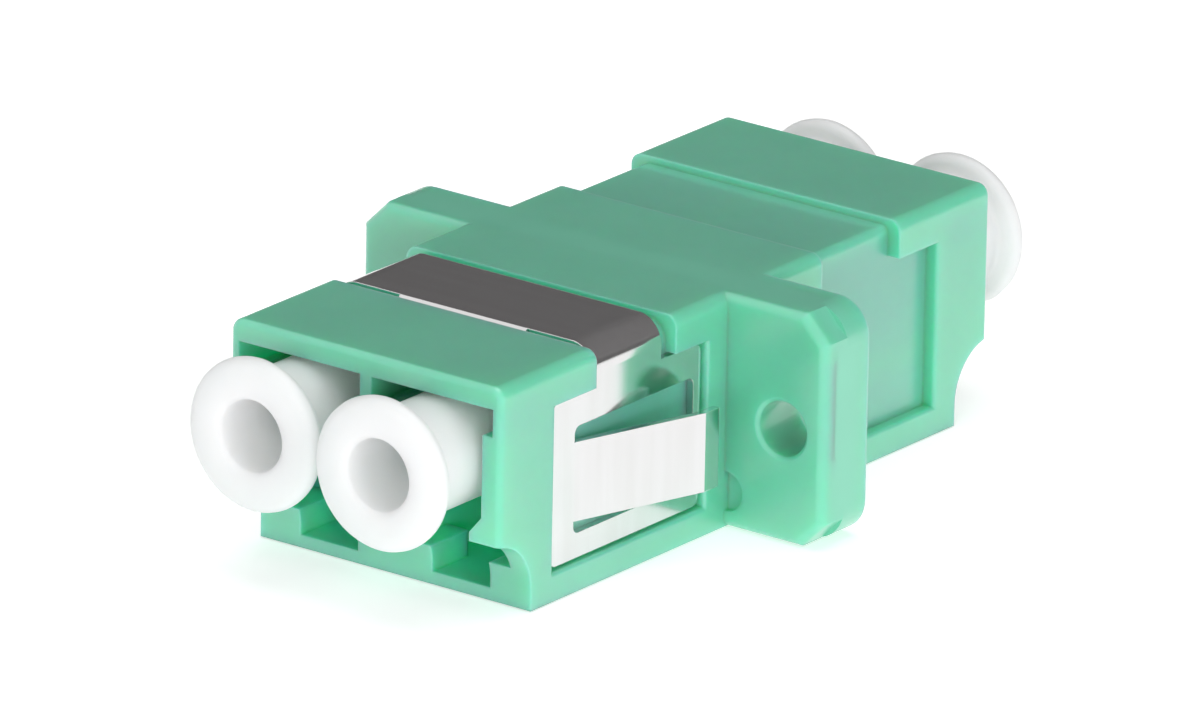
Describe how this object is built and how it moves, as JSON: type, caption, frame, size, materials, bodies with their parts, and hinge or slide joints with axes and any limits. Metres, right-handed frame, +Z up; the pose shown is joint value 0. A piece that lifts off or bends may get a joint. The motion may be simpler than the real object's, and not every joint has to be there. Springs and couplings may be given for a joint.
{
  "type": "fibre optic adapter",
  "caption": "Flanged duplex fibre-optic adapter with a sprung steel panel clip over its front half and push-in dust caps in its ports.",
  "frame": {"origin": "middle of the flat underside, in the plane of the weld seam between the two housing halves", "axes": "+X across the two ports, +Y along the fibres from the clip end to the far end, +Z up, away from the flat underside"},
  "size_m": [0.022, 0.0369, 0.0094],
  "materials": {
    "front_housing": "satin moulded green plastic, slightly translucent",
    "rear_housing": "satin moulded green plastic, slightly translucent",
    "panel_clip": "bright rolled stainless spring steel",
    "left_alignment_sleeve": "ground white zirconia",
    "right_alignment_sleeve": "ground white zirconia",
    "front_left_dust_cap": "soft white polyethylene",
    "front_right_dust_cap": "soft white polyethylene",
    "rear_left_dust_cap": "soft white polyethylene",
    "rear_right_dust_cap": "soft white polyethylene"
  },
  "bodies": {
    "adapter": {"front_housing": "front_housing", "rear_housing": "rear_housing", "panel_clip": "panel_clip", "left_alignment_sleeve": "left_alignment_sleeve", "right_alignment_sleeve": "right_alignment_sleeve"},
    "front_left_cap": {"front_left_dust_cap": "front_left_dust_cap"},
    "front_right_cap": {"front_right_dust_cap": "front_right_dust_cap"},
    "rear_left_cap": {"rear_left_dust_cap": "rear_left_dust_cap"},
    "rear_right_cap": {"rear_right_dust_cap": "rear_right_dust_cap"}
  },
  "joints": [
    {"name": "front_left_cap_pull", "type": "slide", "parent": "adapter", "child": "front_left_cap", "axis": [0, -1, 0], "range_m": [0, 0.014]},
    {"name": "front_right_cap_pull", "type": "slide", "parent": "adapter", "child": "front_right_cap", "axis": [0, -1, 0], "range_m": [0, 0.014]},
    {"name": "rear_left_cap_pull", "type": "slide", "parent": "adapter", "child": "rear_left_cap", "axis": [0, 1, 0], "range_m": [0, 0.014]},
    {"name": "rear_right_cap_pull", "type": "slide", "parent": "adapter", "child": "rear_right_cap", "axis": [0, 1, 0], "range_m": [0, 0.014]}
  ]
}
